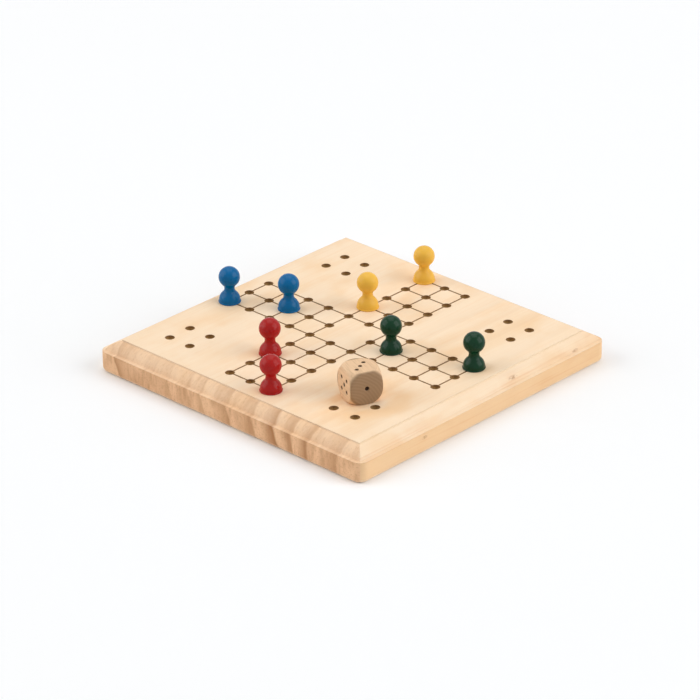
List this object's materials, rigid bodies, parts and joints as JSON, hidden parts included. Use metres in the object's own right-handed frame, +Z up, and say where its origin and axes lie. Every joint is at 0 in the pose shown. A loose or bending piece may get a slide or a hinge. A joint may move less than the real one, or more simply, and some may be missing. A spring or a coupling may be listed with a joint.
{
  "type": "peg board game",
  "caption": "Square wooden peg board with a moulded edge, an engraved cross-shaped track and corner homes, turned pawns that stand in its holes and a wooden die.",
  "frame": {"origin": "centre of the board's underside, on the surface that it lies on", "axes": "+Z up out of the playing face, +Y along the grain of the board, +X across the grain"},
  "size_m": [0.172, 0.172, 0.0345],
  "materials": {
    "pine": "sanded, clear matt lacquer",
    "die_wood": "sanded, bare",
    "blue_paint": "semi-gloss paint",
    "red_paint": "semi-gloss paint",
    "yellow_paint": "semi-gloss paint",
    "green_paint": "semi-gloss paint"
  },
  "bodies": {
    "board": {"game_board": "pine"},
    "blue_pawn_1": {"blue_pawn_1": "blue_paint"},
    "blue_pawn_2": {"blue_pawn_2": "blue_paint"},
    "red_pawn_1": {"red_pawn_1": "red_paint"},
    "red_pawn_2": {"red_pawn_2": "red_paint"},
    "yellow_pawn_1": {"yellow_pawn_1": "yellow_paint"},
    "yellow_pawn_2": {"yellow_pawn_2": "yellow_paint"},
    "green_pawn_1": {"green_pawn_1": "green_paint"},
    "green_pawn_2": {"green_pawn_2": "green_paint"},
    "die": {"die": "die_wood"}
  },
  "joints": [
    {"name": "blue_pawn_1_lift", "type": "slide", "parent": "board", "child": "blue_pawn_1", "axis": [0, 0, 1], "range_m": [0, 0.03]},
    {"name": "blue_pawn_2_lift", "type": "slide", "parent": "board", "child": "blue_pawn_2", "axis": [0, 0, 1], "range_m": [0, 0.03]},
    {"name": "red_pawn_1_lift", "type": "slide", "parent": "board", "child": "red_pawn_1", "axis": [0, 0, 1], "range_m": [0, 0.03]},
    {"name": "red_pawn_2_lift", "type": "slide", "parent": "board", "child": "red_pawn_2", "axis": [0, 0, 1], "range_m": [0, 0.03]},
    {"name": "yellow_pawn_1_lift", "type": "slide", "parent": "board", "child": "yellow_pawn_1", "axis": [0, 0, 1], "range_m": [0, 0.03]},
    {"name": "yellow_pawn_2_lift", "type": "slide", "parent": "board", "child": "yellow_pawn_2", "axis": [0, 0, 1], "range_m": [0, 0.03]},
    {"name": "green_pawn_1_lift", "type": "slide", "parent": "board", "child": "green_pawn_1", "axis": [0, 0, 1], "range_m": [0, 0.03]},
    {"name": "green_pawn_2_lift", "type": "slide", "parent": "board", "child": "green_pawn_2", "axis": [0, 0, 1], "range_m": [0, 0.03]},
    {"name": "die_lift", "type": "slide", "parent": "board", "child": "die", "axis": [0, 0, 1], "range_m": [0, 0.03]}
  ]
}
